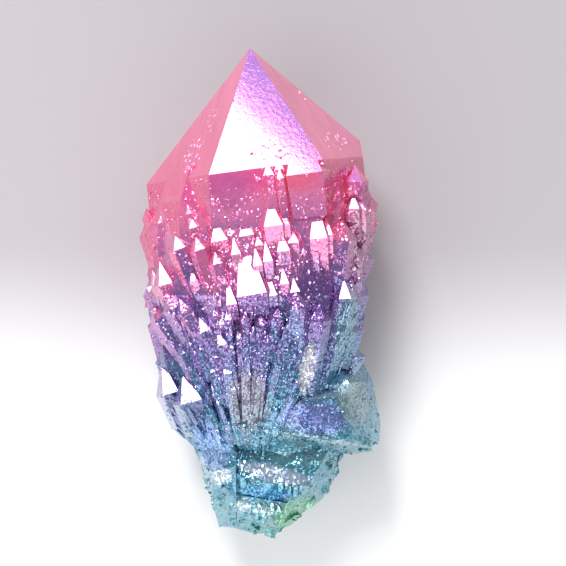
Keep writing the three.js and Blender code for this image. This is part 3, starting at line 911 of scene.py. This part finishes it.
    def _relief(self) -> Sock:
        """Uneven polish, tiny tilted faces in the druse, ribs below, and flat glints.

        Returns:
            The normal.
        """
        film, cells, rough = self.film, self.cells, self.rough
        polish = self.noise(1.8, 3.0, 0.6) * (film.polish[0] + film.polish[1] * rough)
        tilt = self.vector("SUBTRACT", cells["Color"], (0.5, 0.5, 0.5))[0]
        offset = self.vector("SUBTRACT", self.place, cells["Position"])[0]
        upper, more = film.face_height
        faces = self.dot(offset, tilt) * rough * (upper + more * self.below.step(44, 56))
        parts = self.node("ShaderNodeSeparateXYZ", {}, {0: self.place})
        meet_x, meet_y = self.growth.root[0] / MM, self.growth.root[1] / MM
        away = (parts[1] - (meet_y - 4)).higher_of(5.0)
        round_it, along, up = film.rib_scale
        fan = {"X": (parts[0] - meet_x) * (round_it / away), "Y": away * along, "Z": parts[2] * up}
        ribs = self.noise(1.0, 2.0, 0.6, self.node("ShaderNodeCombineXYZ", {}, fan)[0]) * film.rib_height
        ribs = ribs * rough * self.below.step(26, 40) * self.below.step(58, 50)
        links = {"Height": polish + faces + ribs, "Distance": MM, "Strength": 1.0}
        bumped = self.node("ShaderNodeBump", {}, links)["Normal"]
        turned = {"vector_type": "NORMAL", "convert_from": "OBJECT", "convert_to": "WORLD"}
        way = tuple(unit(self.growth.front + (0.0, 0.0, film.glint_tilt)))
        flash = self.node("ShaderNodeVectorTransform", turned, {"Vector": way})[0]
        return self.node("ShaderNodeMix", {"data_type": "VECTOR"}, {0: self.glint, 4: bumped, 5: flash})[1]


# The crystal


@dataclass(frozen=True)
class Crystal:
    """The whole crystal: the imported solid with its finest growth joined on."""

    film: AuraFilm = AuraFilm()
    root: BrokenRoot = BrokenRoot()
    pits: Pits = Pits()
    families: tuple[SmallGrowth, ...] = (
        SmallGrowth("druse", 13500, (0.15, 0.55), 3, disorder=0.08, clumping=0.7),
        SmallGrowth(
            "glitter", 11000, (0.12, 0.32), 6, width=(0.5, 0.9), spread=0, disorder=0.015,
            clumping=0.8, body_from=17.5, root_below=50),
        SmallGrowth("sugar", 7000, (0.1, 0.3), 4, grain=Grain.CHIP, rise=(0.3, 1), clumping=0.9),
        SmallGrowth(
            "ribs", 3000, (0.25, 0.6), 5, Cover.LOWER, slenderness=8, width=(0.5, 0.9), spread=0.75),
        SmallGrowth(
            "striae", 9000, (0.2, 0.5), 9, slenderness=9, width=(0.4, 0.7), spread=0.5,
            patches=((11.6, -4.6, 1.6, 5),)),
        SmallGrowth(
            "face specks", 12000, (0.12, 0.42), 7, width=(0.4, 0.8), spread=0, patches=(
                (-9.6, 18.6, 0.9, 2.4), (10.8, 21.4, 1.6, 2.6), (2.2, 17.3, 1.8, 2.4),
                (-7.5, 21.5, 0.5, 2), (-7.8, 16.6, 1.6, 1.8), (10.2, 17, 2.2, 2.2))),
        SmallGrowth(
            "mosaic", 13000, (0.25, 0.6), 12, slenderness=1.6, spread=0.4, disorder=0.3,
            patches=((0.5, -6.5, 6.8, 4.6),)),
        SmallGrowth(
            "shoulder points", 9000, (0.3, 1), 10, width=(0.5, 0.9), spread=0,
            patches=((-9.8, 15, 1.6, 3.6), (-12.6, 11.5, 1.6, 3), (12.9, 14.6, 1.6, 3.4))),
        SmallGrowth(
            "root points", 14000, (0.3, 0.9), 8, slenderness=3, spread=0.2, patches=(
                (4.4, -26, 2.3, 0.9), (-5.9, -25.3, 1.4, 1.2), (1.3, -30.2, 2.2, 1),
                (-6.7, -21.4, 2.2, 2.8), (-1, -24.6, 1.8, 0.7))))

    def build(self) -> None:
        """Builds, dresses and places the crystal."""
        piece = bpy.data.objects.new("crystal_growth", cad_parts[NODE].data.copy())
        bpy.context.scene.collection.objects.link(piece)
        with opened(piece.data) as work:
            bmesh.ops.remove_doubles(work, verts=work.verts, dist=1e-7)
        while piece.data.uv_layers:
            piece.data.uv_layers.remove(piece.data.uv_layers[0])
        skin, away, added = Skin(piece.data), Solids(), Solids()
        self.root.build(skin, away, added)
        self.pits.build(skin.growth, away)
        for family in self.families:
            log.info("%s: %d", family.name, family.grow(skin, added))
        log.info("layers: %d cut, %d joined", len(away.layers), len(added.layers))
        combine(piece, away.tools("DIFFERENCE") + added.tools("UNION"))
        shade_facets(piece.data)
        piece.data.materials.clear()
        piece.data.materials.append(AuraGraph(self.film, skin.growth).material)
        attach(piece, "root")
        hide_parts(NODE)
        log.info("%s: %d triangles", piece.name, len(piece.data.polygons))


@contextmanager
def opened(mesh: bpy.types.Mesh) -> Iterator[bmesh.types.BMesh]:
    """Opens a mesh for changes, which are written back with flat facets.

    Args:
        mesh: What is changed.

    Yields:
        The mesh, open.
    """
    work = bmesh.new()
    work.from_mesh(mesh)
    yield work
    work.to_mesh(mesh)
    work.free()
    mesh.shade_flat()


def highest_along_y(mesh: bpy.types.Mesh) -> Array:
    """The vertex that lies furthest along +Y."""
    return np.array(max((v.co for v in mesh.vertices), key=lambda co: co.y))


def combine(piece: bpy.types.Object, tools: Sequence[tuple[bpy.types.Object, str]]) -> None:
    """Cuts and joins a piece with other meshes, and removes those.

    Args:
        piece: What is changed.
        tools: Mesh objects, each with its boolean operation.
    """
    for tool, operation in tools:
        bpy.context.scene.collection.objects.link(tool)
        step = piece.modifiers.new(tool.name, "BOOLEAN")
        step.operation = operation
        step.solver = "MANIFOLD"
        step.object = tool
    done = piece.evaluated_get(bpy.context.evaluated_depsgraph_get())
    mesh = bpy.data.meshes.new_from_object(done)
    piece.modifiers.clear()
    old, piece.data = piece.data, mesh
    bpy.data.meshes.remove(old)
    for tool, _ in tools:
        bpy.data.meshes.remove(tool.data)
    with opened(mesh) as work:
        drop_loose(work)
        bmesh.ops.triangulate(work, faces=work.faces)


def drop_loose(work: bmesh.types.BMesh) -> None:
    """Deletes all but the largest of the parts that hang together.

    Args:
        work: The mesh.
    """
    left, parts = set(work.verts), []
    while left:
        part, edge = set(), {left.pop()}
        while edge:
            part |= edge
            edge = {e.other_vert(v) for v in edge for e in v.link_edges} - part
        left -= part
        parts.append(part)
    loose = [v for part in sorted(parts, key=len)[:-1] for v in part]
    bmesh.ops.delete(work, geom=loose, context="VERTS")
    log.info("loose parts dropped: %d", len(parts) - 1)


def shade_facets(mesh: bpy.types.Mesh) -> None:
    """Gives every flat facet its own tone and hue as a colour attribute, and marks the large ones.

    Args:
        mesh: All triangles; those in one plane get the same values.
    """
    normals, centres, areas = (
        np.array([getattr(face, name) for face in mesh.polygons]) for name in ("normal", "center", "area"))
    offsets = (normals * centres).sum(axis=1)
    planes = np.column_stack([np.round(normals / 0.02), np.round(offsets / (0.05 * MM))])
    tone, hue = (  # scrambled from the plane's numbers
        np.modf(np.abs(np.sin(planes @ np.array(factors)) * 43758.5453))[0]
        for factors in ((12.99, 78.23, 37.72, 4.58), (39.35, 11.14, 83.16, 9.15)))
    group = np.unique(planes, axis=0, return_inverse=True)[1].ravel()
    area = np.bincount(group, weights=areas)[group] / MM ** 2
    large = np.clip((area - 0.7) / 0.8, 0, 1)  # from 0.7 to 1.5 square millimetres
    colours = np.column_stack([tone, hue, large, np.ones(len(areas))])
    attribute = mesh.color_attributes.new("facet", "FLOAT_COLOR", "CORNER")
    attribute.data.foreach_set("color", np.repeat(colours, 3, axis=0).ravel())


# The studio


@dataclass(frozen=True)
class Softbox:
    """A rectangular soft light that no camera sees."""

    name: str
    place: Floats
    target: Floats
    size: Span
    radiance: float
    across: Floats | None = None  # direction of its first side, if that isn't level

    def build(self) -> None:
        """Adds the light to the scene."""
        back = unit(np.subtract(self.place, self.target))
        across = unit(np.cross(UP, back)) if self.across is None else self.across
        light = bpy.data.lights.new(self.name, "AREA")
        light.shape = "RECTANGLE"
        light.size, light.size_y = self.size
        light.energy = self.radiance * math.pi * self.size[0] * self.size[1]
        lamp = bpy.data.objects.new(self.name, light)
        turned = np.column_stack([across, np.cross(back, across), back, self.place])
        lamp.matrix_world = Matrix([*turned.tolist(), [0.0, 0.0, 0.0, 1.0]])
        lamp.visible_camera = False
        bpy.context.scene.collection.objects.link(lamp)


@dataclass(frozen=True)
class Window:
    """A bright pane and a dim one with a shared edge, which the main face mirrors across its middle."""

    edge: tuple[Span, Span] = ((-4.2, 26.9), (7.7, 17.6))  # on the face, in mm
    distance: float = 0.6
    slide: float = 0.04  # how far the panes are moved along the edge
    width: float = 0.30  # along the edge
    inset: float = 0.004  # how far the panes keep off the edge
    bright: Span = (0.22, 9.0)  # height and radiance of each pane
    dim: Span = (0.10, 0.32)

    def build(self, growth: Growth, camera: Array) -> None:
        """Adds both panes.

        Args:
            growth: Gives the main face.
            camera: The place of the camera.
        """
        places = [growth.on_main_face(x * MM, y * MM) for x, y in self.edge]
        first, second = (self._mirrored(place, growth.front, camera) for place in places)
        along = unit(second - first)
        middle = (first + second) / 2
        back = unit(middle - sum(places) / 2)
        out = np.cross(along, back)
        for name, way, (height, radiance) in (("window", 1, self.bright), ("card", -1, self.dim)):
            centre = middle + along * self.slide + out * (height / 2 + self.inset) * way
            Softbox(name, centre, centre - back, (self.width, height), radiance, along).build()

    def _mirrored(self, place: Array, normal: Array, camera: Array) -> Array:
        """What the camera sees mirrored at a place, as far off as the window is."""
        ray = unit(place - camera)
        return place + (ray - 2 * (ray @ normal) * normal) * self.distance


@dataclass(frozen=True)
class Studio:
    """Floor, soft lights and the camera above."""

    camera_height: float = 0.5
    focus_height: float = 13.5 * MM
    sensor: float = 36.0
    floor_size: float = 2.0
    painted_floor_falloff: tuple[str, str] = ("#b6b2b6", "#f0f0f1")  # painted light falloff: darker beside the tip, lighter beside the root
    sky: float = 0.28
    window: Window = Window()
    lights: tuple[Softbox, ...] = (
        Softbox("key", (-0.10, 0.28, 0.38), (0, -0.01, 0), (0.15, 0.15), 21),
        Softbox("side", (0.30, 0.35, 0.30), (0, 0, 0.01), (0.2, 0.26), 1.2),
        Softbox("low", (-0.02, -0.16, 0.11), (0, -0.05, 0), (0.50, 0.15), 2.2),
        Softbox("left", (-0.25, -0.10, 0.40), (0, -0.02, 0), (0.25, 0.2), 1))

    def build(self, tip: Array) -> None:
        """Builds the studio.

        Args:
            tip: The crystal's tip, which fixes the camera's place.
        """
        self.window.build(Growth(tip), self._camera(tip))
        for light in self.lights:
            light.build()
        self._sky()
        self._floor()
        log.info("studio: a window and %d lights", len(self.lights))

    def _sky(self) -> None:
        """Even light from all round."""
        world = bpy.data.worlds.new("studio")
        world.use_nodes = True
        background = world.node_tree.nodes["Background"].inputs
        background["Strength"].default_value = self.sky
        background["Color"].default_value = (1, 1, 1, 1)
        bpy.context.scene.world = world

    def _floor(self) -> None:
        """The pale floor that the crystal lies on, painted darker beside the tip and lighter beside the root
        as if lit so.
        """
        half = self.floor_size / 2
        corners = [(-half, -half, 0), (half, -half, 0), (half, half, 0), (-half, half, 0)]
        mesh = bpy.data.meshes.new("floor")
        mesh.from_pydata(corners, [], [(0, 1, 2, 3)])
        floor = bpy.data.objects.new("floor", mesh)
        bpy.context.scene.collection.objects.link(floor)
        graph = Graph("pale_floor")
        along = graph.dot(graph.place, (0.0, 1.0, 0.0))
        # painted light: the floor darkens towards the tip
        colour = graph.mix(along.step(10, -22), *map(linear, self.painted_floor_falloff))
        shader = graph.node("ShaderNodeBsdfPrincipled", {}, {"Base Color": colour, "Roughness": 0.9})
        graph.node("ShaderNodeOutputMaterial", {}, {"Surface": shader[0]})
        mesh.materials.append(graph.material)

    def _camera(self, tip: Array) -> Array:
        """Adds the camera, straight above, framed so that the tip falls on its pixel.

        Args:
            tip: The crystal's tip.

        Returns:
            The camera's place.
        """
        data = bpy.data.cameras.new("camera")
        camera = bpy.data.objects.new("camera", data)
        across, down = ((PIXELS / 2 - at) * PIXEL for at in TIP_PIXEL)
        place = np.array([tip[0] + across, tip[1] - down, self.camera_height])
        camera.location = place
        data.sensor_width = self.sensor
        data.lens = self.sensor * (self.camera_height - self.focus_height) / (PIXELS * PIXEL)
        bpy.context.scene.collection.objects.link(camera)
        bpy.context.scene.camera = camera
        return place


def main() -> None:
    """Builds the crystal and the studio."""
    logging.basicConfig(level=logging.INFO, format="%(message)s")
    bpy.context.scene.view_settings.view_transform = "Standard"
    Crystal().build()
    Studio().build(highest_along_y(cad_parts[NODE].data))


if __name__ == "__main__":
    main()
